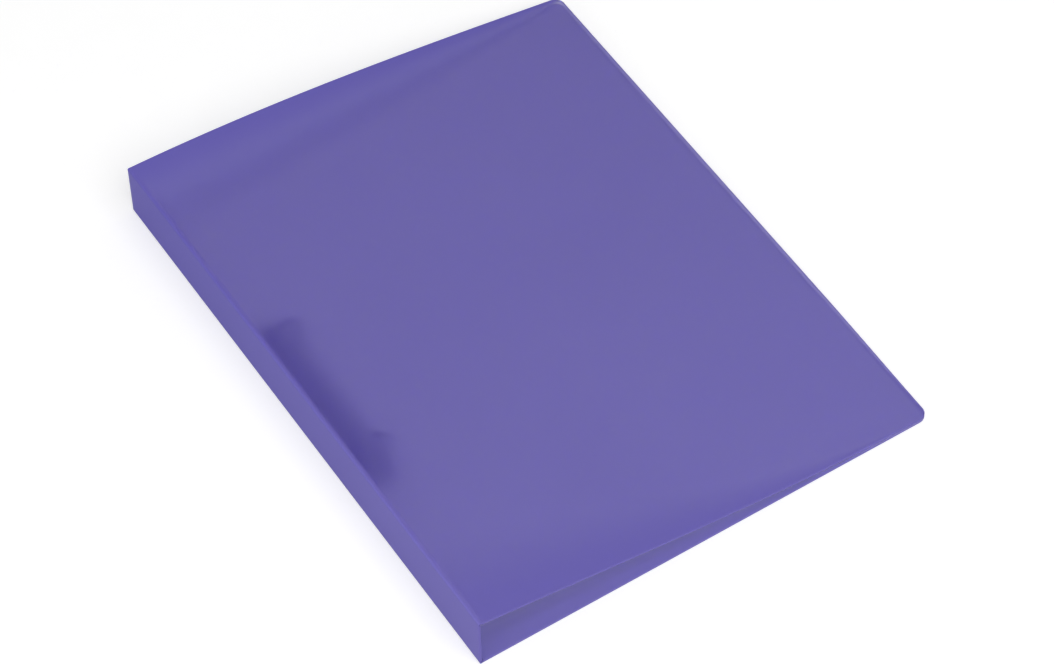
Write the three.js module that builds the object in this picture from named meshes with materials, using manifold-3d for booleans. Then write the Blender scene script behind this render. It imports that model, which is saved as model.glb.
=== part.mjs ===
// Two-ring binder of one folded plastic sheet, with a riveted ring mechanism.
// Units are millimetres. +X runs from the spine to the fore edge, +Y along the
// spine to the far end, +Z up from the table that the back cover lies on.
// The origin is the middle of the closed binder's footprint, on the table.

import * as THREE from 'three';
import { mergeVertices } from 'three/addons/utils/BufferGeometryUtils.js';
import Module from 'manifold-3d';

const wasm = await Module();
wasm.setup();

// Driving sizes: the folded sheet
const coverLength = 320;
const coverWidth = 252;
const spineWidth = 32;
const sheetThickness = 1.2;
const cornerRadius = 5;
const creaseGap = 0.35;
const coverRestGap = 0.3;

// Driving sizes: how the front cover bows between spine and fore edge
const spineSlopeNear = -0.145;
const spineSlopeFar = -0.01;
const foreSlopeNear = 0;
const foreSlopeFar = -0.164;
const foreLiftFar = 1.5;
const foreLiftLength = 84;

// Driving sizes: the rings
const ringSpacing = 80;
const ringInsideDiameter = 19;
const ringWire = 2.6;
const ringFromSpine = 15.6;
const ringHeight = 14.9;
const ringOpening = 9;
const tipGap = 0.3;
const tongueDiameter = 1.1;
const tongueLength = 1.2;
const footStudDiameter = 1.6;
const legLean = 50;
const legInset = 1.65;
const legBend = 1.2;

// Driving sizes: the ring shield and its rails
const shieldLength = 112;
const shieldWidth = 17;
const shieldHeight = 5.3;
const shieldRise = 2.7;
const shieldSheet = 0.7;
const shieldEndRadius = 7.5;
const curlWidth = 2;
const railThickness = 0.9;
const railEndGap = 2.6;
const railEdgeGap = 0.35;
const railMeetingGap = 0.3;
const runningGap = 0.35;
const slotGap = 0.5;
const slotRim = 0.3;

// Driving sizes: the rivets
const rivetFromEnd = 8;
const rivetShank = 3.6;
const rivetHead = 6;
const rivetHeadHeight = 1.1;
const rivetBore = 2;
const capDiameter = 8.4;
const capThickness = 0.5;
const spacerDiameter = 5.6;
const dimpleFloor = 6.8;
const dimpleDepth = 2.8;
const dimpleSlope = 1.1;
const fitGap = 0.3;

// Smoothness of the round and bowed shapes, and the overrun of cutting shapes
const ROUND = 32;
const WIRE_ROUND = 9;
const WIRE_STEPS = 34;
const DOME_STEPS = 6;
const BOW_STEPS = 30;
const LENGTH_STEPS = 16;
const CORNER_STEPS = 6;
const MITRE_COLUMNS = 2;
const PROFILE_SEGMENTS = 16;
const REACH = 60;
const WELD = 1e-5;

// Places that follow from the sizes
const spineX = -coverWidth / 2;
const foreX = coverWidth / 2;
const nearY = -coverLength / 2;
const farY = coverLength / 2;
const ringX = spineX + ringFromSpine;
const ringRadius = (ringInsideDiameter + ringWire) / 2;
const shieldFootZ = sheetThickness + fitGap;
const shieldTopZ = shieldFootZ + shieldHeight;
const shieldShoulderZ = shieldTopZ - shieldRise;
const curlTopZ = shieldFootZ + shieldSheet;
const wallX = shieldWidth / 2 - shieldSheet;
const railOuterX = wallX - railEdgeGap;
const railZ = curlTopZ + runningGap + railThickness / 2;
const studX = railOuterX - legInset;
const rivetY = shieldLength / 2 - rivetFromEnd;
const railHalfLength = rivetY - spacerDiameter / 2 - railEndGap;
const ringY = ringSpacing / 2;
const footZ = railZ + railThickness / 2 + fitGap;
const dimpleZ = shieldTopZ - dimpleDepth;
const radians = Math.PI / 180;

const plastic = new THREE.MeshStandardMaterial({ color: 0x6d64aa, roughness: 0.4, metalness: 0 });
const steel = new THREE.MeshStandardMaterial({ color: 0xc4c6ca, roughness: 0.25, metalness: 1 });

// Turns a closed three.js geometry into a solid for the boolean operations.
function solid(geometry) {
  const bare = geometry.clone();
  bare.deleteAttribute('normal');
  bare.deleteAttribute('uv');
  const merged = mergeVertices(bare, WELD);
  return new wasm.Manifold(new wasm.Mesh({
    numProp: 3,
    vertProperties: new Float32Array(merged.attributes.position.array),
    triVerts: new Uint32Array(merged.index.array),
  }));
}

function piece(name, body, material) {
  const mesh = body.getMesh();
  const geometry = new THREE.BufferGeometry();
  geometry.setAttribute('position', new THREE.BufferAttribute(mesh.vertProperties, 3));
  geometry.setIndex(new THREE.BufferAttribute(mesh.triVerts, 1));
  geometry.computeVertexNormals();
  const node = new THREE.Mesh(geometry, material);
  node.name = name;
  return node;
}

function block(lowX, highX, lowY, highY, lowZ, highZ) {
  const box = new THREE.BoxGeometry(highX - lowX, highY - lowY, highZ - lowZ);
  box.translate((lowX + highX) / 2, (lowY + highY) / 2, (lowZ + highZ) / 2);
  return solid(box);
}

// A round bar or hole standing on end.
function post(x, y, diameter, lowZ, highZ) {
  const bar = new THREE.CylinderGeometry(diameter / 2, diameter / 2, highZ - lowZ, ROUND);
  bar.rotateX(Math.PI / 2);
  bar.translate(x, y, (lowZ + highZ) / 2);
  return solid(bar);
}

function barAlongX(lowX, highX, y, z, diameter) {
  const bar = new THREE.CylinderGeometry(diameter / 2, diameter / 2, highX - lowX, 2 * WIRE_ROUND);
  bar.rotateZ(Math.PI / 2);
  bar.translate((lowX + highX) / 2, y, z);
  return solid(bar);
}

// A shape drawn across the spine (x, z), run along Y.
function runAlong(shape, lowY, highY) {
  const bar = new THREE.ExtrudeGeometry(shape, {
    depth: highY - lowY,
    bevelEnabled: false,
    curveSegments: PROFILE_SEGMENTS,
  });
  bar.rotateX(Math.PI / 2);
  bar.translate(0, highY, 0);
  return solid(bar);
}

// A shape drawn in plan (x, y), run up Z.
function runUp(shape, lowZ, highZ) {
  const slab = new THREE.ExtrudeGeometry(shape, {
    depth: highZ - lowZ,
    bevelEnabled: false,
    curveSegments: PROFILE_SEGMENTS,
  });
  slab.translate(0, 0, lowZ);
  return solid(slab);
}

function outline(points) {
  return new THREE.Shape(points.map(([x, z]) => new THREE.Vector2(x, z)));
}

// A profile of (radius, z) pairs turned about a vertical axis.
function turned(profile, x, y) {
  const lathe = new THREE.LatheGeometry(profile.map(([r, z]) => new THREE.Vector2(r, z)), ROUND);
  lathe.rotateX(Math.PI / 2);
  lathe.translate(x, y, 0);
  return solid(lathe);
}

// How far the cover reaches towards each end at this x, with round fore corners.
function halfLengthAt(x) {
  const past = x - (foreX - cornerRadius);
  if (past <= 0) return coverLength / 2;
  const inset = cornerRadius - Math.sqrt(Math.max(cornerRadius ** 2 - past ** 2, 0));
  return coverLength / 2 - inset;
}

// Height of the front cover's outer face: a cubic from the spine to the fore edge
// whose end slopes change evenly from the near end to the far end.
function frontCoverTop(x, y) {
  const u = (x - spineX) / coverWidth;
  const v = (y - nearY) / coverLength;
  const lifted = Math.min((y - nearY) / foreLiftLength, 1);
  const lift = foreLiftFar * lifted * lifted * (3 - 2 * lifted);
  const foreZ = 2 * sheetThickness + coverRestGap + lift;
  const spineSlope = spineSlopeNear + (spineSlopeFar - spineSlopeNear) * v;
  const foreSlope = foreSlopeNear + (foreSlopeFar - foreSlopeNear) * v;
  return spineWidth * (2 * u ** 3 - 3 * u ** 2 + 1)
    + foreZ * (3 * u ** 2 - 2 * u ** 3)
    + coverWidth * spineSlope * (u ** 3 - 2 * u ** 2 + u)
    + coverWidth * foreSlope * (u ** 3 - u ** 2);
}

// The x places of the bowed cover's columns: even steps, then finer round the corners.
function bowColumns() {
  const firstX = spineX + creaseGap;
  const lastEvenX = foreX - cornerRadius;
  const columns = [];
  for (let i = 0; i <= BOW_STEPS; i += 1) {
    columns.push(firstX + (lastEvenX - firstX) * i / BOW_STEPS);
  }
  for (let i = 1; i <= CORNER_STEPS; i += 1) {
    const angle = (Math.PI / 2) * i / CORNER_STEPS;
    columns.push(lastEvenX + cornerRadius * Math.sin(angle));
  }
  return columns;
}

// The bowed sheet as one closed grid: outer face, inner face and the four edges.
// The spine edge is cut back to a mitre, the inner face starting one thickness further in.
function frontCover() {
  const columns = bowColumns();
  const rows = LENGTH_STEPS + 1;
  const positions = [];
  for (const layer of [0, 1]) {
    columns.forEach((x, i) => {
      const mitre = layer * sheetThickness * Math.max(0, 1 - i / MITRE_COLUMNS);
      const atX = x + mitre;
      for (let j = 0; j < rows; j += 1) {
        const y = halfLengthAt(atX) * (2 * j / LENGTH_STEPS - 1);
        positions.push(atX, y, frontCoverTop(atX, y) - layer * sheetThickness);
      }
    });
  }
  const at = (layer, i, j) => (layer * columns.length + i) * rows + j;
  const index = [];
  const quad = (a, b, c, d) => index.push(a, b, c, a, c, d);
  const lastI = columns.length - 1;
  const lastJ = rows - 1;
  for (let i = 0; i < lastI; i += 1) {
    for (let j = 0; j < lastJ; j += 1) {
      quad(at(0, i, j), at(0, i + 1, j), at(0, i + 1, j + 1), at(0, i, j + 1));
      quad(at(1, i, j), at(1, i, j + 1), at(1, i + 1, j + 1), at(1, i + 1, j));
    }
    quad(at(1, i, 0), at(1, i + 1, 0), at(0, i + 1, 0), at(0, i, 0));
    quad(at(0, i, lastJ), at(0, i + 1, lastJ), at(1, i + 1, lastJ), at(1, i, lastJ));
  }
  for (let j = 0; j < lastJ; j += 1) {
    quad(at(0, 0, j), at(0, 0, j + 1), at(1, 0, j + 1), at(1, 0, j));
    quad(at(1, lastI, j), at(1, lastI, j + 1), at(0, lastI, j + 1), at(0, lastI, j));
  }
  const geometry = new THREE.BufferGeometry();
  geometry.setAttribute('position', new THREE.Float32BufferAttribute(positions, 3));
  geometry.setIndex(index);
  return piece('front_cover', solid(geometry), plastic);
}

// Flat panel with round fore corners, mitred at the spine, with flush seats for the rivet caps.
function backCover() {
  const plan = new THREE.Shape();
  plan.moveTo(spineX, nearY);
  plan.lineTo(foreX - cornerRadius, nearY);
  plan.absarc(foreX - cornerRadius, nearY + cornerRadius, cornerRadius, -Math.PI / 2, 0);
  plan.lineTo(foreX, farY - cornerRadius);
  plan.absarc(foreX - cornerRadius, farY - cornerRadius, cornerRadius, 0, Math.PI / 2);
  plan.lineTo(spineX, farY);
  const section = outline([
    [spineX + creaseGap, 0],
    [foreX + REACH, 0],
    [foreX + REACH, sheetThickness],
    [spineX + creaseGap + sheetThickness, sheetThickness],
  ]);
  let body = runUp(plan, -REACH, REACH).intersect(runAlong(section, nearY - REACH, farY + REACH));
  for (const side of [-1, 1]) {
    const y = side * rivetY;
    body = body.subtract(post(ringX, y, rivetShank + 2 * fitGap, -REACH, REACH));
    body = body.subtract(post(ringX, y, capDiameter + 2 * fitGap, -REACH, capThickness + fitGap));
  }
  return piece('back_cover', body, plastic);
}

// Upright panel, mitred along both creases.
function spinePanel() {
  const section = outline([
    [spineX, creaseGap],
    [spineX + sheetThickness, creaseGap + sheetThickness],
    [spineX + sheetThickness, spineWidth - creaseGap - sheetThickness],
    [spineX, spineWidth - creaseGap],
  ]);
  return piece('spine_panel', runAlong(section, nearY, farY), plastic);
}

// Centre and radius of the shield's arched top, for its outer face.
const archRadius = ((shieldWidth / 2) ** 2 + shieldRise ** 2) / (2 * shieldRise);
const archCentreZ = shieldTopZ - archRadius;

// The arched space under a face of the shield: inset 0 is its outer face.
function archShape(inset, lowZ) {
  const radius = archRadius - inset;
  const halfWidth = shieldWidth / 2 - inset;
  const reach = Math.asin(halfWidth / radius);
  const shape = new THREE.Shape();
  shape.moveTo(ringX - halfWidth, lowZ);
  shape.lineTo(ringX + halfWidth, lowZ);
  shape.absarc(ringX, archCentreZ, radius, Math.PI / 2 - reach, Math.PI / 2 + reach);
  return shape;
}

function shieldPlan() {
  const halfWidth = shieldWidth / 2;
  const halfLength = shieldLength / 2;
  const r = shieldEndRadius;
  const plan = new THREE.Shape();
  plan.absarc(ringX + halfWidth - r, halfLength - r, r, 0, Math.PI / 2);
  plan.absarc(ringX - halfWidth + r, halfLength - r, r, Math.PI / 2, Math.PI);
  plan.absarc(ringX - halfWidth + r, -halfLength + r, r, Math.PI, 1.5 * Math.PI);
  plan.absarc(ringX + halfWidth - r, -halfLength + r, r, 1.5 * Math.PI, 2 * Math.PI);
  return plan;
}

// Arched strip: a thin shell over the rails, its edges curled under to hold them,
// with a slot for each ring leg and a cupped dimple for each rivet.
function ringShield() {
  const halfLength = shieldLength / 2;
  const full = runAlong(archShape(0, shieldFootZ), -halfLength, halfLength);
  const hollow = runAlong(archShape(shieldSheet, curlTopZ), -halfLength - REACH, halfLength + REACH);
  const mouthHalf = shieldWidth / 2 - curlWidth;
  const mouth = block(ringX - mouthHalf, ringX + mouthHalf, -halfLength - REACH, halfLength + REACH,
    shieldFootZ - REACH, curlTopZ + runningGap);
  const slotPoints = [
    [studX - ringWire / 2 - slotGap, footZ],
    [wallX, footZ],
    [wallX, shieldShoulderZ],
    [shieldWidth / 2 - slotRim, shieldShoulderZ + slotRim],
    [shieldWidth / 2 - slotRim, REACH],
    [studX - ringWire / 2 - slotGap, REACH],
  ];
  let body = full.subtract(hollow).subtract(mouth);
  for (const side of [-1, 1]) {
    const y = side * rivetY;
    const rimRadius = dimpleFloor / 2 + (shieldTopZ - dimpleZ) * dimpleSlope;
    const cup = turned([
      [0, dimpleZ - shieldSheet],
      [dimpleFloor / 2 + shieldSheet / 2, dimpleZ - shieldSheet],
      [rimRadius + shieldSheet, shieldTopZ],
      [0, shieldTopZ],
    ], ringX, y);
    const bowl = turned([
      [0, dimpleZ],
      [dimpleFloor / 2, dimpleZ],
      [rimRadius, shieldTopZ],
      [rimRadius, shieldTopZ + REACH],
      [0, shieldTopZ + REACH],
    ], ringX, y);
    body = body.add(cup.intersect(full)).subtract(bowl);
    body = body.subtract(post(ringX, y, rivetShank + 2 * fitGap, -REACH, REACH));
  }
  for (const side of [-1, 1]) {
    const slot = outline(slotPoints.map(([x, z]) => [ringX + side * x, z]));
    for (const y of [-ringY, ringY]) {
      const halfSlot = ringWire / 2 + slotGap;
      body = body.subtract(runAlong(slot, y - halfSlot, y + halfSlot));
    }
  }
  return piece('ring_shield', body.intersect(runUp(shieldPlan(), -REACH, REACH)), steel);
}

// The round stretch of a half ring, from its tip down to where the leg begins.
class RingArc extends THREE.Curve {
  constructor(side, y, endAngle) {
    super();
    this.side = side;
    this.y = y;
    this.startAngle = tipGap / 2 / ringRadius;
    this.endAngle = endAngle;
  }

  getPoint(t, target = new THREE.Vector3()) {
    const angle = this.startAngle + (this.endAngle - this.startAngle) * t;
    return target.set(ringX + this.side * ringRadius * Math.sin(angle), this.y,
      ringHeight + ringRadius * Math.cos(angle));
  }
}

// Centre line of a half ring: the arc, a straight leg, and a bend down on to the rail.
// side is -1 on the spine side, 1 on the paper side.
function wirePath(side, y) {
  const arc = new RingArc(side, y, Math.PI - legLean * radians);
  const legTop = arc.getPoint(1);
  const stand = (x, z) => new THREE.Vector3(ringX + side * x, y, z);
  const fall = Math.tan(legLean * radians);
  const cornerZ = legTop.z - fall * (Math.abs(legTop.x - ringX) - studX);
  const bendStart = stand(studX + legBend * Math.cos(legLean * radians),
    cornerZ + legBend * Math.sin(legLean * radians));
  const bendEnd = stand(studX, cornerZ - legBend);
  const path = new THREE.CurvePath();
  path.add(arc);
  path.add(new THREE.LineCurve3(legTop, bendStart));
  path.add(new THREE.QuadraticBezierCurve3(bendStart, stand(studX, cornerZ), bendEnd));
  path.add(new THREE.LineCurve3(bendEnd, stand(studX, footZ)));
  return path;
}

// Half ring as a bent wire with a stud at its foot, and at its tip a tongue on the
// spine side or the socket that takes it on the paper side.
function halfRing(name, side, y) {
  const round = new THREE.Shape();
  round.absarc(0, 0, ringWire / 2, 0, 2 * Math.PI);
  const wire = new THREE.ExtrudeGeometry(round, {
    extrudePath: wirePath(side, y),
    steps: WIRE_STEPS,
    curveSegments: WIRE_ROUND,
    bevelEnabled: false,
  });
  const stud = post(ringX + side * studX, y, footStudDiameter, railZ - railThickness / 2,
    footZ + ringWire / 2);
  const body = solid(wire).add(stud);
  const tipZ = ringHeight + ringRadius;
  if (side < 0) {
    const tongue = barAlongX(ringX - tipGap / 2 - ringWire, ringX - tipGap / 2 + tongueLength,
      y, tipZ, tongueDiameter);
    return piece(name, body.add(tongue), steel);
  }
  const socket = barAlongX(ringX - tipGap, ringX + tongueLength + fitGap,
    y, tipZ, tongueDiameter + 2 * fitGap);
  return piece(name, body.subtract(socket), steel);
}

// Flat blade that pivots on its outer edge. At rest its inner edge is pressed down
// by half of the opening angle; opened, it has snapped up by the same amount.
function hingeRail(name, side) {
  const tilt = ringOpening / 2 * radians;
  const inward = [-side * Math.cos(tilt), -Math.sin(tilt)];
  const upward = [-side * Math.sin(tilt), Math.cos(tilt)];
  const width = railOuterX - railMeetingGap / 2;
  const corner = (along, up) => [
    ringX + side * railOuterX + inward[0] * along * width + upward[0] * up * railThickness / 2,
    railZ + inward[1] * along * width + upward[1] * up * railThickness / 2,
  ];
  const section = outline([corner(0, -1), corner(1, -1), corner(1, 1), corner(0, 1)]);
  let body = runAlong(section, -railHalfLength, railHalfLength);
  for (const y of [-ringY, ringY]) {
    const hole = post(ringX + side * studX, y, footStudDiameter + 2 * fitGap, -REACH, REACH);
    body = body.subtract(hole);
  }
  return piece(name, body, steel);
}

// Domed head in the shield's dimple, on a hollow shank that runs down through the back cover.
function rivet(name, y) {
  const seatZ = dimpleZ + fitGap;
  const endZ = capThickness + fitGap;
  const profile = [
    [0, seatZ + rivetHeadHeight],
    [0, seatZ - 2 * fitGap],
    [rivetBore / 2, seatZ - 2 * fitGap],
    [rivetBore / 2, endZ],
    [rivetShank / 2, endZ],
    [rivetShank / 2, seatZ],
    [rivetHead / 2, seatZ],
  ];
  for (let i = 1; i < DOME_STEPS; i += 1) {
    const angle = (Math.PI / 2) * i / DOME_STEPS;
    profile.push([rivetHead / 2 * Math.cos(angle), seatZ + rivetHeadHeight * Math.sin(angle)]);
  }
  profile.push([0, seatZ + rivetHeadHeight]);
  return piece(name, turned(profile, ringX, y), steel);
}

// Flat disc pressed flush into the back cover, with a pin up the rivet's hollow shank.
function rivetCap(name, y) {
  const pinRadius = rivetBore / 2 - fitGap;
  const pinTopZ = dimpleZ - 2 * fitGap;
  return piece(name, turned([
    [0, 0],
    [capDiameter / 2, 0],
    [capDiameter / 2, capThickness],
    [pinRadius, capThickness],
    [pinRadius, pinTopZ],
    [0, pinTopZ],
    [0, 0],
  ], ringX, y), steel);
}

// Collar on the shank that holds the shield off the sheet.
function spacer(name, y) {
  const lowZ = sheetThickness + fitGap;
  const highZ = dimpleZ - shieldSheet - fitGap;
  const ring = post(ringX, y, spacerDiameter, lowZ, highZ)
    .subtract(post(ringX, y, rivetShank + 2 * fitGap, -REACH, REACH));
  return piece(name, ring, steel);
}

const binder = new THREE.Group();
binder.name = 'two_ring_binder';
binder.add(
  backCover(),
  spinePanel(),
  frontCover(),
  ringShield(),
  hingeRail('rail_left', -1),
  hingeRail('rail_right', 1),
  halfRing('half_ring_left_near', -1, -ringY),
  halfRing('half_ring_left_far', -1, ringY),
  halfRing('half_ring_right_near', 1, -ringY),
  halfRing('half_ring_right_far', 1, ringY),
  rivet('rivet_near', -rivetY),
  rivet('rivet_far', rivetY),
  rivetCap('rivet_cap_near', -rivetY),
  rivetCap('rivet_cap_far', rivetY),
  spacer('spacer_near', -rivetY),
  spacer('spacer_far', rivetY),
);

export default binder;
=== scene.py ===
import math

import bmesh
import bpy
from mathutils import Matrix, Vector


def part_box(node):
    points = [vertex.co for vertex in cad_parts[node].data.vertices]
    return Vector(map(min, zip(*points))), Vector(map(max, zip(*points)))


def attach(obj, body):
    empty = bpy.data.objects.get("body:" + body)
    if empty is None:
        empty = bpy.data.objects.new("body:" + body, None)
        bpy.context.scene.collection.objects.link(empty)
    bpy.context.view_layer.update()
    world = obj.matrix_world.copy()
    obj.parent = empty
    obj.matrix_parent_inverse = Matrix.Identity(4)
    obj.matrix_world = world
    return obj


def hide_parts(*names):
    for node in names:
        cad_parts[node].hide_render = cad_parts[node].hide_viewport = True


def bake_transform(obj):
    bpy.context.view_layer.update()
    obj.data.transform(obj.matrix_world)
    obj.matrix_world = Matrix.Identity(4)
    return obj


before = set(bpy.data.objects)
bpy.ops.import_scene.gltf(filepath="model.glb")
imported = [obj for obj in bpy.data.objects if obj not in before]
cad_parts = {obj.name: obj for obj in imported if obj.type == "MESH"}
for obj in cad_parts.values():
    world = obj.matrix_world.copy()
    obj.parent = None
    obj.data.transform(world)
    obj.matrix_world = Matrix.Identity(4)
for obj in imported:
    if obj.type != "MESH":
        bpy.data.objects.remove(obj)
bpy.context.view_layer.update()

bl_info = {
    "name": "Two-ring binder",
    "version": (1, 0, 0),
    "blender": (4, 5, 0),
    "location": "3D View > Sidebar > Binder",
    "description": "Dresses a translucent two-ring binder and sets its studio",
    "category": "Add Mesh",
}

MM = 0.001

# Places taken from the frame
BACK_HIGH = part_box("back_cover")[1]
SHIELD_LOW, SHIELD_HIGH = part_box("ring_shield")
FAR_RING_LOW, FAR_RING_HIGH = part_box("half_ring_left_far")
SPINE_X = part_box("spine_panel")[0].x
FORE_X = BACK_HIGH.x
HALF_LENGTH = BACK_HIGH.y
COVER_WIDTH = FORE_X - SPINE_X
COVER_LENGTH = 2 * HALF_LENGTH
THICKNESS = BACK_HIGH.z
SPINE_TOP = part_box("front_cover")[1].z
RING_X = (SHIELD_LOW.x + SHIELD_HIGH.x) / 2
RING_Y = (FAR_RING_LOW.y + FAR_RING_HIGH.y) / 2

# Fineness of the meshes
ACROSS_BACK = 60
ACROSS_FRONT = 110
ACROSS_SPINE = 12
ARC_STEPS = 48
BEND_STEPS = 8
DOME_STEPS = 8
LATHE_SEGMENTS = 48
WIRE_SIDES = 28
PIN_SIDES = 24
BEVEL_SEGMENTS = 2
SHEET_SHARP = 30.0
METAL_SHARP = 35.0
BEVEL_FROM = 40
FLAT_WITHIN = 1.0
WELD = 0.001 * MM

# Fixed properties of the finishes: noise scales per metre, relief and optics
CLOUD_SCALE, CLOUD_DETAIL = 9.0, 3.0
GRAIN_SCALE, GRAIN_DETAIL = 2600.0, 1.0
RIPPLE_SCALE, RIPPLE_SHARE = 700.0, 1.5
SHEET_RELIEF = 0.006 * MM
GRAIN_ROUGHNESS = 0.04
SATIN_IOR, SATIN_SPECULAR = 1.49, 0.05
CLEAR_IOR, CLEAR_SPECULAR = 1.16, 0.1
DULLING_SCALE, DULLING_DETAIL = 160.0, 3.0
MARKS_SCALE, MARKS_DETAIL = 3200.0, 2.0
MARKS_RELIEF = 0.004 * MM
PLATE_ROUGHNESS, DULLED_ROUGHNESS = 0.14, 0.14
FIBRE_SCALE = 60.0
PAPER_DARK = (0.60, 0.60, 0.60, 1)
PAPER_LIGHT = (0.62, 0.62, 0.62, 1)
WHITE = (1, 1, 1, 1)

# The stage's fixed sizes, in metres but for the sensor's millimetres
FLOOR_HALF = 4.0
FLOOR_Z = -0.05 * MM
KEY_SIZE = 1.2
FILL_SIZE = 0.7
SENSOR_WIDTH = 36
CLIP_START, CLIP_END = 0.05, 50


# Shader building

class Value:
    """A socket of a material. Arithmetic on it adds the Math nodes that work it out."""

    def __init__(self, tree, socket):
        self.tree = tree
        self.socket = socket

    def _with(self, operation, first, second):
        node = self.tree.nodes.new("ShaderNodeMath")
        node.operation = operation
        for slot, term in zip(node.inputs, (first, second)):
            plug(self.tree, slot, term)
        return Value(self.tree, node.outputs[0])

    def __add__(self, other):
        return self._with("ADD", self, other)

    __radd__ = __add__

    def __mul__(self, other):
        return self._with("MULTIPLY", self, other)

    __rmul__ = __mul__

    def __sub__(self, other):
        return self._with("SUBTRACT", self, other)

    def __rsub__(self, other):
        return self._with("SUBTRACT", other, self)


def plug(tree, slot, term):
    """Links a socket, or sets its own value."""
    if isinstance(term, Value):
        tree.links.new(term.socket, slot)
    else:
        slot.default_value = term


class Finish:
    """A material in the making."""

    def __init__(self, name):
        self.material = bpy.data.materials.new(name)
        self.material.use_nodes = True
        self.tree = self.material.node_tree
        self.tree.nodes.clear()

    def add(self, kind, settings=None, inputs=None, output=0):
        """Adds a node: its settings first, then its sockets' values or links."""
        node = self.tree.nodes.new(kind)
        for key, value in (settings or {}).items():
            setattr(node, key, value)
        for key, term in (inputs or {}).items():
            plug(self.tree, node.inputs[key], term)
        return Value(self.tree, node.outputs[output])

    def place(self):
        return self.add("ShaderNodeTexCoord", output="Object")

    def nearness(self):
        """Runs from 0 at the binder's far end to 1 at its near end."""
        along = self.add("ShaderNodeSeparateXYZ", inputs={0: self.place()}, output="Y")
        return 0.5 - along * (1 / COVER_LENGTH)

    def noise(self, scale, detail=2.0):
        return self.add("ShaderNodeTexNoise", inputs={
            "Vector": self.place(), "Scale": scale, "Detail": detail})

    def attribute(self, name):
        return self.add("ShaderNodeAttribute", {"attribute_name": name}, output="Fac")

    def blend_colours(self, factor, first, second):
        node = self.tree.nodes.new("ShaderNodeMix")
        node.data_type = "RGBA"
        for slot, term in zip((node.inputs[0], node.inputs[6], node.inputs[7]),
                              (factor, first, second)):
            plug(self.tree, slot, term)
        return Value(self.tree, node.outputs[2])

    def bump(self, height, distance):
        return self.add("ShaderNodeBump", inputs={
            "Height": height, "Distance": distance, "Strength": 1.0})

    def close(self, surface):
        """Puts the surface on the output and returns the finished material."""
        node = self.tree.nodes.new("ShaderNodeOutputMaterial")
        plug(self.tree, node.inputs["Surface"], surface)
        return self.material


def violet_sheet(look):
    """Translucent polypropylene: a satin violet body that lets pale light through.

    The sheet is cloudier where the mesh says so, and paler where it is cut or folded. At the
    open ends the cloudy zones show set colours: painted shade at the far end, painted light at
    the near end. The pale cut edges are painted highlight, and the pale folds whitening with
    painted highlight.
    """
    made = Finish("violet_sheet")
    cloud = made.noise(CLOUD_SCALE, CLOUD_DETAIL)
    grain = made.noise(GRAIN_SCALE, GRAIN_DETAIL)
    cloudy = made.attribute("cloudy")
    near = made.nearness()
    # Painted light: the colour turns paler towards the near end, in random cloud.
    middle = made.blend_colours(cloud * near, (*look.sheet_colour, 1),
                                (*look.sheet_colour_painted_light, 1))
    # Painted light: the cloudy colour is paler at the near end than at the far end.
    milky_with_painted_light = made.blend_colours(near, (*look.cloudy_colour_far, 1),
                               (*look.cloudy_colour_near_lit, 1))
    body = made.blend_colours(cloudy * (2 - cloudy), middle, milky_with_painted_light)
    # Painted highlight on cut edges; at the folds whitening with painted highlight.
    edge = made.attribute("cut_edge") * look.edge_paleness
    colour = made.blend_colours(edge, body, (*look.whitening_and_highlight_colour, 1))
    relief = made.bump(grain + made.noise(RIPPLE_SCALE) * RIPPLE_SHARE, SHEET_RELIEF)
    satin = made.add("ShaderNodeBsdfPrincipled", inputs={
        "Base Color": colour,
        "Roughness": look.sheet_roughness + grain * GRAIN_ROUGHNESS,
        "IOR": SATIN_IOR,
        "Specular IOR Level": SATIN_SPECULAR,
        "Normal": relief,
    })
    clear = made.add("ShaderNodeBsdfPrincipled", inputs={
        "Base Color": (*look.light_through, 1),
        "Roughness": look.sheet_haze,
        "IOR": CLEAR_IOR,
        "Specular IOR Level": CLEAR_SPECULAR,
        "Transmission Weight": 1.0,
        "Normal": relief,
    })
    share = look.sheet_clearness * (1 - cloudy * look.cloudiness) * (1 - edge)
    surface = made.add("ShaderNodeMixShader", inputs={0: share, 1: satin, 2: clear})
    return made.close(surface)


def nickel_plate(look):
    """Bright nickel on drawn steel: fine drawing marks and faint dulling."""
    made = Finish("nickel_plate")
    dulling = made.noise(DULLING_SCALE, DULLING_DETAIL)
    marks = made.noise(MARKS_SCALE, MARKS_DETAIL)
    colour = made.blend_colours(dulling, (*look.metal_colour, 1),
                                (*look.metal_colour_dull, 1))
    surface = made.add("ShaderNodeBsdfPrincipled", inputs={
        "Base Color": colour,
        "Metallic": 1.0,
        "Roughness": PLATE_ROUGHNESS + dulling * DULLED_ROUGHNESS,
        "Normal": made.bump(marks, MARKS_RELIEF),
    })
    return made.close(surface)


def studio_floor(stage):
    """Paper floor, lifted to white where it is seen, reflected or shows through.

    The lift lights nothing else, and the object's soft shadow stays.
    """
    made = Finish("studio_floor")
    fibre = made.noise(FIBRE_SCALE)
    tone = made.blend_colours(fibre, PAPER_DARK, PAPER_LIGHT)
    paper = made.add("ShaderNodeBsdfDiffuse", inputs={"Color": tone})
    seen = sum(made.add("ShaderNodeLightPath", output=f"Is {ray} Ray")
               for ray in ("Camera", "Glossy", "Transmission"))
    glow = made.add("ShaderNodeEmission", inputs={
        "Color": WHITE, "Strength": seen * stage.floor_lift})
    both = made.add("ShaderNodeAddShader", inputs={0: paper, 1: glow})
    return made.close(both)


# Mesh building

def new_piece(name, mesh, material, body=None, replaces=()):
    """Makes an object of a finished mesh, with its material and body, and hides the CAD parts
    that it replaces.
    """
    piece = bpy.data.objects.new(name, mesh)
    bpy.context.scene.collection.objects.link(piece)
    mesh.materials.clear()
    mesh.materials.append(material)
    if body:
        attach(piece, body)
    if replaces:
        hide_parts(*replaces)
    return piece


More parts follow.
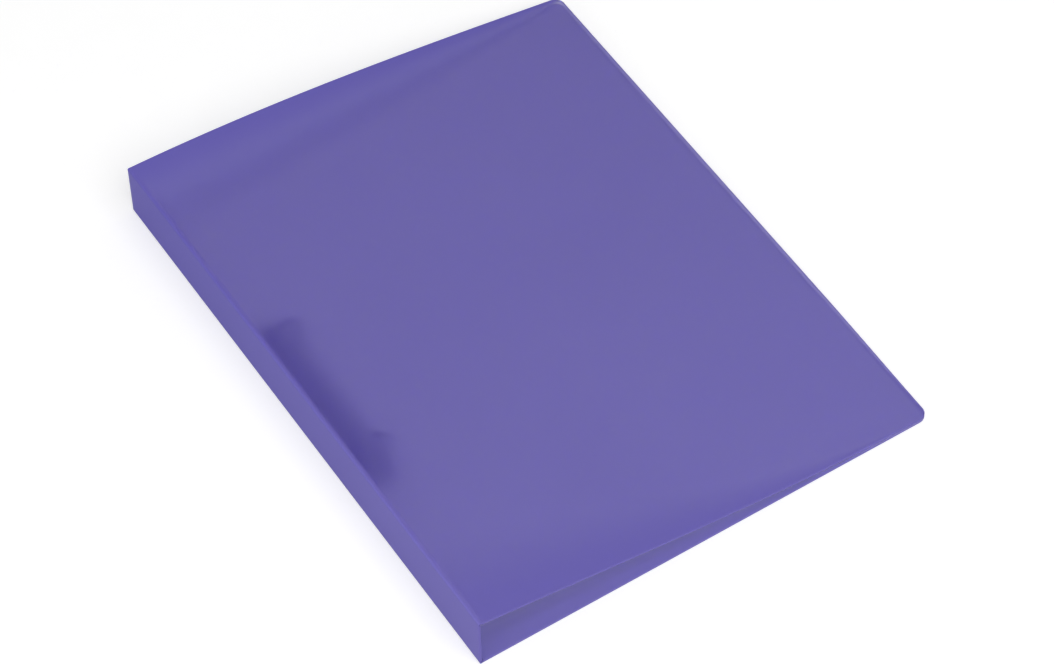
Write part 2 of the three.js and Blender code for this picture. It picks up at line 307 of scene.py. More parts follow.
def smooth(mesh, angle=SHEET_SHARP):
    """Shades a mesh smooth, but for edges sharper than the angle in degrees."""
    mesh.shade_smooth()
    mesh.set_sharp_from_angle(angle=math.radians(angle))
    return mesh


def closed_mesh(name, points, faces, **marks):
    """A mesh from points and faces, turned to face outwards, with a number at each point."""
    mesh = bpy.data.meshes.new(name)
    mesh.from_pydata(points, [], faces)
    for mark, values in marks.items():
        mesh.attributes.new(mark, "FLOAT", "POINT").data.foreach_set("value", values)
    built = bmesh.new()
    built.from_mesh(mesh)
    bmesh.ops.recalc_face_normals(built, faces=built.faces)
    built.to_mesh(mesh)
    built.free()
    return smooth(mesh)


def steps(low, high, count):
    """Evenly spaced values from low to high, both included."""
    return [low + (high - low) * i / count for i in range(count + 1)]


class Panel:
    """A panel of the sheet on a grid: s runs across it from a crease, y along the spine.

    place(s, y, depth) puts a point in the binder, depth 0 being the outer face.
    Round corners bend the grid's corner cells on to a quarter disc.
    """

    def __init__(self, start, end, place, look, across, radius=0.0, far_crease=False,
                 cloud_near=(0.0, 1.0), cloud_far=(0.0, 1.0), cloud_fore=0.0):
        self.start = start
        self.end = end
        self.place = place
        self.look = look
        self.radius = radius
        self.far_crease = far_crease
        self.cloud_ends = {-1: cloud_near, 1: cloud_far}
        self.cloud_fore = cloud_fore
        corner = [i / look.corner_steps for i in range(1, look.corner_steps + 1)]
        if not radius:
            corner = []
        straight = HALF_LENGTH - radius
        self.columns = [(s, 0.0) for s in steps(start, end - radius, across)]
        self.columns += [(end, u) for u in corner]
        self.rows = [(-HALF_LENGTH, -v) for v in reversed(corner)]
        self.rows += [(y, 0.0) for y in steps(-straight, straight, look.length_steps)]
        self.rows += [(HALF_LENGTH, v) for v in corner]

    def flat(self, i, j):
        """A grid point (s, y) and its outward direction if it is on the cut edge."""
        s, u = self.columns[i]
        y, v = self.rows[j]
        r = self.radius
        if u and v:
            bent_u = u * math.sqrt(1 - v * v / 2)
            bent_v = v * math.sqrt(1 - u * u / 2)
            s = self.end - r + r * bent_u
            y = math.copysign(HALF_LENGTH - r, v) + r * bent_v
            return s, y, bent_u, bent_v
        if u:
            s = self.end - r + r * u
        if v:
            y = math.copysign(HALF_LENGTH - r, v) + r * v
        last = len(self.columns) - 1
        out_s = 1.0 if i == last and not self.far_crease else 0.0
        out_y = {0: -1.0, len(self.rows) - 1: 1.0}.get(j, 0.0)
        return s, y, out_s, out_y

    def point(self, i, j, inset, depth):
        """A grid point in the binder, drawn in from a cut edge and mitred at a crease."""
        s, y, out_s, out_y = self.flat(i, j)
        last = len(self.columns) - 1
        edge = i in (0, last) or j in (0, len(self.rows) - 1)
        if edge:
            s -= out_s * inset
            y -= out_y * inset
        if i == 0:
            s = self.start + depth
        if i == last and self.far_crease:
            s = self.end - depth
        return self.place(s, y, depth)

    def mesh(self, name):
        """The panel as one closed mesh: two faces and a rounded rim between them."""
        across, along = len(self.columns), len(self.rows)
        e = self.look.edge_round
        t = THICKNESS
        mid = e * (1 - math.sqrt(0.5))
        profile = [(e, 0.0), (mid, mid), (0.0, e), (0.0, t - e), (mid, t - mid), (e, t)]
        points = [self.point(i, j, e, depth)
                  for depth in (0.0, t) for i in range(across) for j in range(along)]
        cut = [self.folded(point) for point in points]
        cloudy = [self.cloudy(point) for point in points]
        loop = [(i, 0) for i in range(across)]
        loop += [(across - 1, j) for j in range(1, along)]
        loop += [(i, along - 1) for i in range(across - 2, -1, -1)]
        loop += [(0, j) for j in range(along - 2, 0, -1)]

        def at(layer, i, j):
            return (layer * across + i) * along + j

        rings = [[at(0, i, j) for i, j in loop]]
        for inset, depth in profile[1:-1]:
            rings.append(list(range(len(points), len(points) + len(loop))))
            points += [self.point(i, j, inset, depth) for i, j in loop]
            # The rim's pale mark is a painted highlight.
            cut += [self.look.cut_painted_highlight] * len(loop)
            cloudy += [1.0] * len(loop)
        rings.append([at(1, i, j) for i, j in loop])
        faces = []
        for i in range(across - 1):
            for j in range(along - 1):
                square = [(i, j), (i + 1, j), (i + 1, j + 1), (i, j + 1)]
                faces.append([at(0, a, b) for a, b in square])
                faces.append([at(1, a, b) for a, b in reversed(square)])
        count = len(loop)
        for upper, lower in zip(rings, rings[1:]):
            for k in range(count):
                n = (k + 1) % count
                faces.append([upper[k], lower[k], lower[n], upper[n]])
        return closed_mesh(name, points, faces, cut_edge=cut, cloudy=cloudy)

    def by_fold(self, point):
        """Runs from 1 at the fold to 0 further into the cover."""
        past = (point[0] - SPINE_X - THICKNESS) / self.look.fold_reach
        return min(max(1 - past, 0.0), 1.0)

    def folded(self, point):
        """How marked a point is by the fold: the spine itself isn't. The mark is whitening with
        painted highlight.
        """
        return 0.0 if self.far_crease else self.look.crease_whitening_and_highlight * self.by_fold(point)

    def cloudy(self, point):
        """How cloudy a point is: at the open ends, beside the fore edge and by the spine."""
        # At the open ends the cloud is painted shade at the far end and painted light at the
        # near end.
        marks = [most * cloudiness(self.look, end, reach, point)
                 for end, (most, reach) in self.cloud_ends.items()]
        fore = self.cloud_fore * (1 - (FORE_X - point[0]) / self.look.cloudy_fore_reach)
        return max(self.by_fold(point), fore, *marks)


def front_top(look, x, y):
    """Height of the front cover's outer face, bowed from the spine to the fore edge."""
    u = (x - SPINE_X) / COVER_WIDTH
    v = (y + HALF_LENGTH) / COVER_LENGTH
    lifted = min((y + HALF_LENGTH) / look.fore_lift_length, 1.0)
    lift = look.fore_lift * lifted * lifted * (3 - 2 * lifted)
    fore = 2 * THICKNESS + look.rest_gap + lift
    spine_slope = look.spine_slope_near + (look.spine_slope_far - look.spine_slope_near) * v
    fore_slope = look.fore_slope_near + (look.fore_slope_far - look.fore_slope_near) * v
    return (SPINE_TOP * (2 * u ** 3 - 3 * u ** 2 + 1)
            + fore * (3 * u ** 2 - 2 * u ** 3)
            + COVER_WIDTH * spine_slope * (u ** 3 - 2 * u ** 2 + u)
            + COVER_WIDTH * fore_slope * (u ** 3 - u ** 2))


def cloudiness(look, end, reach, point):
    """How cloudy the sheet is at a point, from 1 at its open end (+1 far, -1 near) to 0.

    The reach inwards is in heights of the opening there. These zones are painted shade at the
    far end, where they hide the bright floor showing through, and painted light at the near end,
    where they hide the shaded inside.
    """
    x, y, z = point
    opening = front_top(look, x, y) - 2 * THICKNESS
    inward = (HALF_LENGTH - end * y) / (reach * opening)
    fall = min(max(inward, 0.0), 1.0)
    return 1 - fall * fall * (3 - 2 * fall)


def crease_mesh(name, look, top):
    """The thin web that carries the sheet round a crease, as a quarter turn along Y."""
    reach = look.crease_reach
    web = look.crease_web
    turns = look.crease_steps
    ys = steps(-HALF_LENGTH, HALF_LENGTH, look.length_steps)
    points, cut = [], []
    for y in ys:
        if top:
            low = SPINE_TOP - reach
            rise = front_top(look, SPINE_X + reach, y) - low
            inner_rise = rise - web
        else:
            low = reach
            rise = -reach
            inner_rise = web - reach
        for part, height in ((reach, rise), (reach - web, inner_rise)):
            for k in range(turns + 1):
                angle = math.pi / 2 * k / turns
                points.append((SPINE_X + reach - part * math.cos(angle), y,
                               low + height * math.sin(angle)))
                # Pale along the fold: whitening with painted highlight.
                cut.append(look.crease_whitening_and_highlight * math.sin(2 * angle) ** 2)
    ring = 2 * (turns + 1)
    order = list(range(turns + 1)) + list(range(ring - 1, turns, -1))
    faces = []
    for j in range(len(ys) - 1):
        for a, b in zip(order, order[1:] + order[:1]):
            faces.append([j * ring + a, j * ring + b, (j + 1) * ring + b, (j + 1) * ring + a])
    last = (len(ys) - 1) * ring
    for k in range(turns):
        quad = [k, k + 1, turns + 2 + k, turns + 1 + k]
        faces.append(quad)
        faces.append([last + q for q in reversed(quad)])
    return closed_mesh(name, points, faces, cut_edge=cut, cloudy=[1.0] * len(points))


def lathe_mesh(name, profiles):
    """Turned pieces: each profile of (radius, z) about an upright axis at (x, y)."""
    segments = LATHE_SEGMENTS
    points, faces = [], []
    for (x, y), profile in profiles:
        rings = []
        for radius, z in profile:
            count = 1 if radius == 0 else segments
            rings.append(range(len(points), len(points) + count))
            for k in range(count):
                angle = 2 * math.pi * k / segments
                points.append((x + radius * math.cos(angle), y + radius * math.sin(angle), z))
        for upper, lower in zip(rings, rings[1:]):
            for k in range(segments):
                n = (k + 1) % segments
                corners = [upper[k % len(upper)], lower[k % len(lower)],
                           lower[n % len(lower)], upper[n % len(upper)]]
                faces.append(list(dict.fromkeys(corners)))
    return closed_mesh(name, points, faces)


# Settings that a user would change

def length(label, value, text):
    return bpy.props.FloatProperty(name=label, default=value, unit="LENGTH",
                                   precision=5, description=text)


def colour(label, value, text):
    return bpy.props.FloatVectorProperty(name=label, default=value, subtype="COLOR", size=3,
                                         min=0, max=1, description=text)


def cloud(label, value):
    return bpy.props.FloatVectorProperty(
        name=label, default=value, size=2,
        description="How cloudy it is at that end, and its reach in heights of the opening")


class SheetLook(bpy.types.PropertyGroup):
    """Sizes and colours of the folded sheet."""

    # The sheet runs from its deep colour at the far end to the pale one towards the near end:
    # painted light.
    sheet_colour: colour("Sheet", (0.118, 0.090, 0.500), "Colour of the sheet where it is deep")
    sheet_colour_painted_light: colour("Pale sheet", (0.160, 0.132, 0.540), "Colour where it is pale")
    # The cloudy colours: the near one is paler, painted light.
    cloudy_colour_far: colour("Cloudy, far", (0.156, 0.131, 0.535), "Where cloudy, far end")
    cloudy_colour_near_lit: colour("Cloudy, near", (0.198, 0.168, 0.560), "Where cloudy, near end")
    light_through: colour("Light through", (0.83, 0.81, 0.91), "Tint of what shows through")
    # Pale colour of cut edges and folds: painted highlight, with whitening at the folds.
    whitening_and_highlight_colour: colour("Cut edge", (0.34, 0.30, 0.66), "Colour of cut edges and fold lines")
    edge_paleness: bpy.props.FloatProperty(
        name="Edge paleness", default=0.1, min=0, max=1,
        description="How far marked edges turn to their own colour")
    cut_painted_highlight: bpy.props.FloatProperty(
        name="Cut paleness", default=0.4, min=0, max=1, description="How marked a cut edge is")
    sheet_roughness: bpy.props.FloatProperty(
        name="Roughness", default=0.42, min=0, max=1, description="Satin of the sheet's face")
    sheet_haze: bpy.props.FloatProperty(
        name="Haze", default=0.97, min=0, max=1, description="Blur of what shows through")
    sheet_clearness: bpy.props.FloatProperty(
        name="Clearness", default=0.6, min=0, max=1,
        description="Share of the light that goes through the sheet")
    cloudiness: bpy.props.FloatProperty(
        name="Cloudiness", default=0.8, min=0, max=1, description="How cloudy it gets")
    # Cloudy zones at the open ends: painted light at the near ends, painted shade at the far
    # end.
    back_near_cloud_painted_light: cloud("Back cover's near cloud", (0.84, 1.8))
    front_near_cloud_painted_light: cloud("Front cover's near cloud", (0.6, 2.0))
    front_far_cloud_painted_shade: cloud("Front cover's far cloud", (1.0, 1.95))
    front_cloud_fore: bpy.props.FloatProperty(
        name="Fore cloud", default=0.6, description="How cloudy the front cover's fore edge is")
    cloudy_fore_reach: length("Fore cloud reach", 3 * MM, "How far it clouds from that edge")
    fold_reach: length("Fold reach", 2 * MM, "How far the fold's mark reaches into a cover")
    corner_radius: length("Corner radius", 5 * MM, "Round of the two fore corners")
    edge_round: length("Edge round", 0.2 * MM, "Softening of the cut edges")
    crease_reach: length("Crease reach", 1.0 * MM, "How far the fold web reaches each way")
    crease_web: length("Crease web", 0.55 * MM, "Thickness of the fold web")
    crease_whitening_and_highlight: bpy.props.FloatProperty(
        name="Crease paleness", default=0.8, min=0, max=1,
        description="How marked the fold line is")
    rest_gap: length("Rest gap", 0.3 * MM, "Gap between the covers at the near fore corner")
    spine_slope_near: bpy.props.FloatProperty(
        name="Spine slope, near", default=-0.145, description="Front cover's slope at the spine")
    spine_slope_far: bpy.props.FloatProperty(
        name="Spine slope, far", default=-0.01, description="The same at the far end")
    fore_slope_near: bpy.props.FloatProperty(
        name="Fore slope, near", default=0.0, description="Slope at the fore edge, near end")
    fore_slope_far: bpy.props.FloatProperty(
        name="Fore slope, far", default=-0.164, description="Slope at the fore edge, far end")
    fore_lift: length("Fore lift", 1.5 * MM, "How far the fore edge lifts past the near end")
    fore_lift_length: length("Fore lift length", 84 * MM, "Stretch over which it lifts")
    corner_steps: bpy.props.IntProperty(
        name="Corner steps", default=8, min=2, description="Cells round a corner")
    length_steps: bpy.props.IntProperty(
        name="Length steps", default=96, min=8, description="Cells along the spine")
    crease_steps: bpy.props.IntProperty(
        name="Crease steps", default=8, min=2, description="Cells round a fold")


class RingLook(bpy.types.PropertyGroup):
    """Sizes and colours of the ring mechanism."""

    metal_colour: colour("Plate", (0.56, 0.56, 0.57), "Colour of the nickel plate")
    metal_colour_dull: colour("Dulled plate", (0.47, 0.47, 0.48), "Where it is dulled")
    wire: length("Wire", 2.6 * MM, "Diameter of the ring wire")
    inside: length("Inside", 19 * MM, "Inside diameter of the closed ring")
    height: length("Ring centre", 14.9 * MM, "Height of the rings' centre")
    tip_gap: length("Tip gap", 0.3 * MM, "Gap between the closed tips")
    tongue: length("Tongue", 1.1 * MM, "Diameter of the tongue in the tip")
    tongue_length: length("Tongue length", 1.2 * MM, "How far the tongue stands out")
    socket: length("Socket", 1.7 * MM, "Diameter of the socket in the other tip")
    stud_x: length("Stud", 5.8 * MM, "Leg's distance from the middle")
    foot_z: length("Foot", 3.75 * MM, "Height of the leg's foot")
    leg_lean: bpy.props.FloatProperty(
        name="Leg lean", default=math.radians(50), unit="ROTATION",
        description="How far before the bottom the leg leaves the round")
    leg_bend: length("Leg bend", 1.2 * MM, "Reach of the bend on to the rail")
    plate_round: length("Plate round", 0.12 * MM, "Softening of the shield's edges")
    shank: length("Rivet shank", 3.6 * MM, "Diameter of the rivet's shank")
    head_height: length("Rivet head", 1.1 * MM, "Height of the rivet's head")
    head_rim: length("Head rim", 0.25 * MM, "Upright rim under the head's dome")
    cap_thickness: length("Cap", 0.5 * MM, "Thickness of the cap under the back cover")
    cap_bevel: length("Cap bevel", 0.1 * MM, "Softening of the cap's rim")
    cap_dent: length("Cap dent", 0.12 * MM, "Depth of the dent in the cap's middle")
    cap_dent_radius: length("Cap dent radius", 1.0 * MM, "Reach of that dent")


class StageLook(bpy.types.PropertyGroup):
    """Camera, lamps and floor."""

    camera_place: bpy.props.FloatVectorProperty(
        name="Camera", default=(-0.62345, -1.00435, 1.50629), subtype="XYZ", unit="LENGTH",
        description="Where the camera stands")
    camera_turn: bpy.props.FloatVectorProperty(
        name="Camera turn", subtype="EULER",
        default=(math.radians(37.8197), math.radians(0.6590), math.radians(-32.9431)),
        description="How the camera is turned")
    lens: bpy.props.FloatProperty(name="Lens", default=134.8, description="Focal length in mm")
    shift: bpy.props.FloatVectorProperty(
        name="Shift", size=2, default=(-0.00594, 0.00041), description="Lens shift")
    world_light: bpy.props.FloatProperty(
        name="World light", default=0.45, description="Strength of the even light")
    key_power: bpy.props.FloatProperty(
        name="Key lamp", default=13.8, description="Power of the soft box, in watts")
    key_place: bpy.props.FloatVectorProperty(
        name="Key place", default=(-0.1, -1.0, 1.3), subtype="XYZ", unit="LENGTH",
        description="Where the soft box hangs, on the camera's side")
    fill_power: bpy.props.FloatProperty(
        name="Fill lamp", default=4.0, description="Power of the spine's soft box, in watts")
    fill_place: bpy.props.FloatVectorProperty(
        name="Fill place", default=(-1.3, -0.3, 0.4), subtype="XYZ", unit="LENGTH",
        description="Where that soft box stands, on the spine's side")
    floor_lift: bpy.props.FloatProperty(
        name="Floor lift", default=0.53,
        description="What the floor adds where it is seen, reflected or shows through")


# Operators

def look_of(name):
    return getattr(bpy.context.scene, name)


def material_once(name, make):
    return bpy.data.materials.get(name) or make()


def sheet_material():
    return material_once("violet_sheet", lambda: violet_sheet(look_of("binder_sheet")))


def plate_material():
    return material_once("nickel_plate", lambda: nickel_plate(look_of("binder_rings")))


class BINDER_OT_covers(bpy.types.Operator):
    """Makes the back cover, the spine and the bowed front cover."""

    bl_idname = "binder.covers"
    bl_label = "Covers and spine"

    def execute(self, context):
        look = context.scene.binder_sheet
        reach = look.crease_reach
        start, end = SPINE_X + reach, FORE_X
        back = Panel(start, end, lambda s, y, d: (s, y, d), look, ACROSS_BACK,
                     look.corner_radius, cloud_near=look.back_near_cloud_painted_light)
        front = Panel(start, end, lambda s, y, d: (s, y, front_top(look, s, y) - d), look,
                      ACROSS_FRONT, look.corner_radius, cloud_near=look.front_near_cloud_painted_light,
                      cloud_far=look.front_far_cloud_painted_shade, cloud_fore=look.front_cloud_fore)
        spine = Panel(reach, SPINE_TOP - reach, lambda s, y, d: (SPINE_X + d, y, s), look,
                      ACROSS_SPINE, far_crease=True)
        sheet = sheet_material()
        for panel, name, body in ((back, "back_cover", "base"), (spine, "spine_panel", "spine"),
                                  (front, "front_cover", "front")):
            new_piece(name + "_sheet", panel.mesh(name + "_sheet"), sheet, body, [name])
        return {"FINISHED"}


class BINDER_OT_creases(bpy.types.Operator):
    """Makes the two folds that join the spine to the covers."""

    bl_idname = "binder.creases"
    bl_label = "Folds"

    def execute(self, context):
        look = context.scene.binder_sheet
        for top, name, bodies in ((False, "back_fold", ("base", "spine")),
                                  (True, "front_fold_web", ("spine", "front"))):
            fold = new_piece(name, crease_mesh(name, look, top), sheet_material())
            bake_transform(fold)
        return {"FINISHED"}


def wire_path(look, side):
    """Points down the middle of a half ring, in its own plane (x, z)."""
    radius = (look.inside + look.wire) / 2
    end = math.pi - look.leg_lean
    first = look.tip_gap / 2 / radius
    arc = [(radius * math.sin(a), look.height + radius * math.cos(a))
           for a in steps(first, end, ARC_STEPS)]
    fall = math.tan(look.leg_lean)
    corner_z = arc[-1][1] - fall * (arc[-1][0] - look.stud_x)
    bend = look.leg_bend
    a = (look.stud_x + bend * math.cos(look.leg_lean),
         corner_z + bend * math.sin(look.leg_lean))
    b = (look.stud_x, corner_z)
    c = (look.stud_x, corner_z - bend)
    curve = [((1 - t) ** 2 * a[0] + 2 * t * (1 - t) * b[0] + t * t * c[0],
              (1 - t) ** 2 * a[1] + 2 * t * (1 - t) * b[1] + t * t * c[1])
             for t in steps(0, 1, BEND_STEPS)]
    points = arc + curve + [(look.stud_x, look.foot_z)]
    return [(RING_X + side * x, 0.0, z) for x, z in points]


def ring_tree(material):
    """Geometry nodes: a wire swept along the path, its tip worked, set at both ring places."""
    tree = bpy.data.node_groups.new("half_ring_wire", "GeometryNodeTree")
    face = tree.interface
    face.new_socket("Path", in_out="INPUT", socket_type="NodeSocketGeometry")
    for name in ("Wire Radius", "Spacing", "Tip X", "Tip Height", "Pin Radius", "Pin Length"):
        face.new_socket(name, in_out="INPUT", socket_type="NodeSocketFloat")
    face.new_socket("Hollow Tip", in_out="INPUT", socket_type="NodeSocketBool")
    face.new_socket("Wires", in_out="OUTPUT", socket_type="NodeSocketGeometry")
    nodes, links = tree.nodes, tree.links
    given = nodes.new("NodeGroupInput").outputs

    def add(kind, settings=None, inputs=None):
        node = nodes.new(kind)
        for key, value in (settings or {}).items():
            setattr(node, key, value)
        for key, term in (inputs or {}).items():
            if isinstance(term, bpy.types.NodeSocket):
                links.new(term, node.inputs[key])
            else:
                node.inputs[key].default_value = term
        return node.outputs

    line = add("GeometryNodeMeshToCurve", inputs={"Mesh": given["Path"]})
    ring = add("GeometryNodeCurvePrimitiveCircle", inputs={
        "Resolution": WIRE_SIDES, "Radius": given["Wire Radius"]})
    wire = add("GeometryNodeCurveToMesh", inputs={
        "Curve": line["Curve"], "Profile Curve": ring["Curve"], "Fill Caps": True})
    pin = add("GeometryNodeMeshCylinder", inputs={
        "Vertices": PIN_SIDES, "Radius": given["Pin Radius"], "Depth": given["Pin Length"]})
    spot = add("ShaderNodeCombineXYZ", inputs={"X": given["Tip X"], "Z": given["Tip Height"]})
    laid = add("GeometryNodeTransform", inputs={
        "Geometry": pin["Mesh"], "Translation": spot[0],
        "Rotation": (0.0, math.pi / 2, 0.0)})
    bored = add("GeometryNodeMeshBoolean", {"operation": "DIFFERENCE", "solver": "EXACT"},
                {"Mesh 1": wire["Mesh"], "Mesh 2": laid["Geometry"]})
    joined = add("GeometryNodeJoinGeometry")
    links.new(laid["Geometry"], joined[0].node.inputs[0])
    links.new(wire["Mesh"], joined[0].node.inputs[0])
    tipped = add("GeometryNodeSwitch", {"input_type": "GEOMETRY"}, {
        "Switch": given["Hollow Tip"], "False": joined[0], "True": bored["Mesh"]})
    half = add("ShaderNodeMath", {"operation": "MULTIPLY"}, {0: given["Spacing"], 1: -0.5})
    first = add("ShaderNodeCombineXYZ", inputs={"Y": half[0]})
    step = add("ShaderNodeCombineXYZ", inputs={"Y": given["Spacing"]})
    spots = add("GeometryNodeMeshLine", {"mode": "OFFSET"}, {
        "Count": 2, "Start Location": first[0], "Offset": step[0]})
    placed = add("GeometryNodeInstanceOnPoints", inputs={
        "Points": spots["Mesh"], "Instance": tipped["Output"]})
    real = add("GeometryNodeRealizeInstances", inputs={"Geometry": placed["Instances"]})
    smoothed = add("GeometryNodeSetShadeSmooth", inputs={
        "Geometry": real["Geometry"], "Shade Smooth": True})
    done = add("GeometryNodeSetMaterial", inputs={
        "Geometry": smoothed["Geometry"], "Material": material})
    out = nodes.new("NodeGroupOutput")
    links.new(done["Geometry"], out.inputs["Wires"])
    return tree


def bake_nodes(name, start_mesh, tree, values):
    """Runs a geometry nodes tree on a mesh and returns the plain mesh that it makes."""
    carrier = bpy.data.objects.new(name + "_path", start_mesh)
    bpy.context.scene.collection.objects.link(carrier)
    modifier = carrier.modifiers.new("nodes", "NODES")
    modifier.node_group = tree
    for item in tree.interface.items_tree:
        if item.in_out == "INPUT" and item.name in values:
            modifier[item.identifier] = values[item.name]
    graph = bpy.context.evaluated_depsgraph_get()
    mesh = bpy.data.meshes.new_from_object(carrier.evaluated_get(graph))
    mesh.name = name
    carrier.modifiers.clear()
    bpy.data.objects.remove(carrier)
    return mesh


class BINDER_OT_rings(bpy.types.Operator):
    """Makes the half rings: bent wires with a tongue or a socket at the tip."""

    bl_idname = "binder.rings"
    bl_label = "Half rings"

    def execute(self, context):
        look = context.scene.binder_rings
        plate = plate_material()
        tree = ring_tree(plate)
        radius = (look.inside + look.wire) / 2
        for side, word in ((-1, "left"), (1, "right")):
            points = wire_path(look, side)
            path = bpy.data.meshes.new("path_" + word)
            path.from_pydata(points, [(k, k + 1) for k in range(len(points) - 1)], [])
            hollow = side > 0
            pin_radius = (look.socket if hollow else look.tongue) / 2
            pin_length = 2 * (look.tongue_length + look.tip_gap)
            middle = RING_X if hollow else RING_X + look.tongue_length - pin_length / 2
            mesh = bake_nodes("half_rings_" + word, path, tree, {
                "Wire Radius": look.wire / 2, "Spacing": 2 * RING_Y, "Tip X": middle,
                "Tip Height": look.height + radius, "Pin Radius": pin_radius,
                "Pin Length": pin_length, "Hollow Tip": hollow})
            smooth(mesh, METAL_SHARP)
            new_piece("half_rings_" + word, mesh, plate, word + "_rings",
                      [f"half_ring_{word}_near", f"half_ring_{word}_far"])
        return {"FINISHED"}


def softened_copy(node, width):
    """A smooth copy of a CAD node's mesh with its sharp edges softened."""
    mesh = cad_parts[node].data.copy()
    built = bmesh.new()
    built.from_mesh(mesh)
    bmesh.ops.remove_doubles(built, verts=built.verts, dist=WELD)
    bmesh.ops.dissolve_limit(built, angle_limit=math.radians(FLAT_WITHIN),
                             verts=built.verts, edges=built.edges)
    built.to_mesh(mesh)
    built.free()
    carrier = bpy.data.objects.new(node + "_carrier", mesh)
    bpy.context.scene.collection.objects.link(carrier)
    bevel = carrier.modifiers.new("edges", "BEVEL")
    bevel.width = width
    bevel.segments = BEVEL_SEGMENTS
    bevel.limit_method = "ANGLE"
    bevel.angle_limit = math.radians(BEVEL_FROM)
    graph = bpy.context.evaluated_depsgraph_get()
    result = bpy.data.meshes.new_from_object(carrier.evaluated_get(graph))
    bpy.data.objects.remove(carrier)
    return smooth(result, METAL_SHARP)


class BINDER_OT_shield(bpy.types.Operator):
    """Finishes the arched shield, the rails under it and the spacers."""

    bl_idname = "binder.shield"
    bl_label = "Shield and rails"

    def execute(self, context):
        look = context.scene.binder_rings
        plate = plate_material()
        mesh = softened_copy("ring_shield", look.plate_round)
        new_piece("ring_shield_plate", mesh, plate, "base", ["ring_shield"])
        for node in ("rail_left", "rail_right", "spacer_near", "spacer_far"):
            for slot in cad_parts[node].material_slots:
                slot.material = plate
        return {"FINISHED"}


class BINDER_OT_rivets(bpy.types.Operator):
    """Makes the two rivets, with domed heads inside and flat caps under the back cover."""

    bl_idname = "binder.rivets"
    bl_label = "Rivets"

    def execute(self, context):
        look = context.scene.binder_rings
        plate = plate_material()
        heads, caps = [], []
        for end in ("near", "far"):
            low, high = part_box("rivet_" + end)
            middle = (low + high) / 2
            seat = high.z - look.head_height
            rim_top = seat + look.head_rim
            shank = look.shank / 2
            head = (high.x - low.x) / 2
            dome = [(head * math.cos(a), rim_top + (high.z - rim_top) * math.sin(a))
                    for a in steps(0, math.pi / 2, DOME_STEPS)]
            dome[-1] = (0, high.z)
            heads.append(((middle.x, middle.y), [
                (0, low.z), (shank, low.z), (shank, seat), (head, seat)] + dome))
            cap_low, cap_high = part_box("rivet_cap_" + end)
            rim = (cap_high.x - cap_low.x) / 2
            thick, bevel = look.cap_thickness, look.cap_bevel
            caps.append(((middle.x, middle.y), [
                (0, look.cap_dent), (look.cap_dent_radius, look.cap_dent),
                (look.cap_dent_radius + look.cap_dent, 0), (rim - bevel, 0),
                (rim, bevel), (rim, thick - bevel), (rim - bevel, thick), (0, thick)]))
        new_piece("rivet_heads", lathe_mesh("rivet_heads", heads), plate, "base",
                  ["rivet_near", "rivet_far"])
        new_piece("rivet_caps", lathe_mesh("rivet_caps", caps), plate, "base",
                  ["rivet_cap_near", "rivet_cap_far"])
        return {"FINISHED"}


def soft_box(name, power, place, size):
    """A square lamp aimed at the binder."""
    lamp = bpy.data.lights.new(name, "AREA")
    lamp.shape = "SQUARE"
    lamp.size = size
    lamp.energy = power
    box = bpy.data.objects.new(name, lamp)
    bpy.context.scene.collection.objects.link(box)
    box.location = place
    box.rotation_mode = "QUATERNION"
    box.rotation_quaternion = (-Vector(place)).to_track_quat("-Z", "Y")


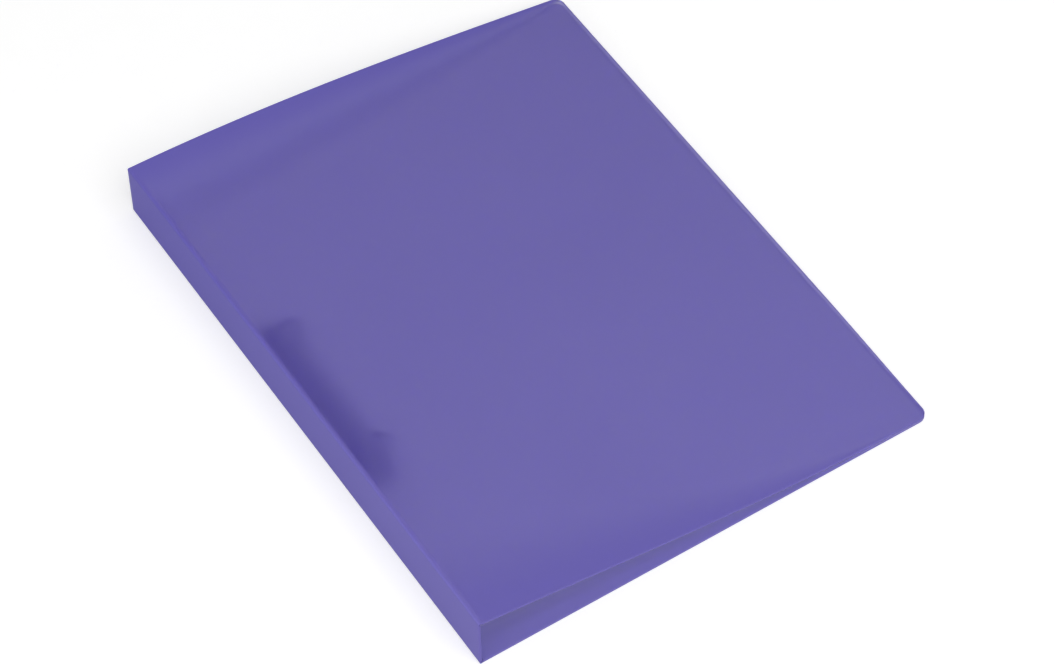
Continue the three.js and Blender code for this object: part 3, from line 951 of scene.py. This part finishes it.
class BINDER_OT_stage(bpy.types.Operator):
    """Sets the floor, the soft lamps and the camera."""

    bl_idname = "binder.stage"
    bl_label = "Stage"

    def execute(self, context):
        stage = context.scene.binder_stage
        scene = context.scene
        scene.view_settings.view_transform = "Standard"
        floor = bpy.data.meshes.new("floor")
        corners = [(x * FLOOR_HALF, y * FLOOR_HALF, FLOOR_Z)
                   for x, y in ((-1, -1), (1, -1), (1, 1), (-1, 1))]
        floor.from_pydata(corners, [], [(0, 1, 2, 3)])
        ground = new_piece("floor", floor, studio_floor(stage))

        world = bpy.data.worlds.new("studio")
        scene.world = world
        world.use_nodes = True
        tree = world.node_tree
        tree.nodes.clear()
        back = tree.nodes.new("ShaderNodeBackground")
        back.inputs["Color"].default_value = WHITE
        path = tree.nodes.new("ShaderNodeLightPath")
        camera_ray = Value(tree, path.outputs["Is Camera Ray"])
        strength = stage.world_light + camera_ray * (1 - stage.world_light)
        plug(tree, back.inputs["Strength"], strength)
        out = tree.nodes.new("ShaderNodeOutputWorld")
        tree.links.new(back.outputs[0], out.inputs["Surface"])

        soft_box("key_box", stage.key_power, stage.key_place, KEY_SIZE)
        soft_box("fill_box", stage.fill_power, stage.fill_place, FILL_SIZE)

        lens = bpy.data.cameras.new("camera")
        lens.lens = stage.lens
        lens.sensor_width = SENSOR_WIDTH
        lens.shift_x, lens.shift_y = stage.shift
        lens.clip_start, lens.clip_end = CLIP_START, CLIP_END
        camera = bpy.data.objects.new("camera", lens)
        scene.collection.objects.link(camera)
        camera.location = stage.camera_place
        camera.rotation_euler = stage.camera_turn
        scene.camera = camera
        return {"FINISHED"}


OPERATORS = (BINDER_OT_stage, BINDER_OT_covers, BINDER_OT_creases, BINDER_OT_rings,
             BINDER_OT_shield, BINDER_OT_rivets)
SETTINGS = {"binder_sheet": SheetLook, "binder_rings": RingLook, "binder_stage": StageLook}


class BINDER_PT_tools(bpy.types.Panel):
    """Lists the binder's operators."""

    bl_idname = "BINDER_PT_tools"
    bl_label = "Two-ring binder"
    bl_space_type = "VIEW_3D"
    bl_region_type = "UI"
    bl_category = "Binder"

    def draw(self, context):
        for operator in OPERATORS:
            self.layout.operator(operator.bl_idname)
        for name, group in SETTINGS.items():
            shown = self.layout.box()
            for key in group.__annotations__:
                shown.prop(getattr(context.scene, name), key)


def register():
    for kind in (*SETTINGS.values(), *OPERATORS, BINDER_PT_tools):
        bpy.utils.register_class(kind)
    for name, group in SETTINGS.items():
        setattr(bpy.types.Scene, name, bpy.props.PointerProperty(type=group))


def unregister():
    for name in SETTINGS:
        delattr(bpy.types.Scene, name)
    for kind in reversed((*SETTINGS.values(), *OPERATORS, BINDER_PT_tools)):
        bpy.utils.unregister_class(kind)


def main():
    register()
    for operator in OPERATORS:
        family, action = operator.bl_idname.split(".")
        getattr(getattr(bpy.ops, family), action)()


if __name__ == "__main__":
    main()
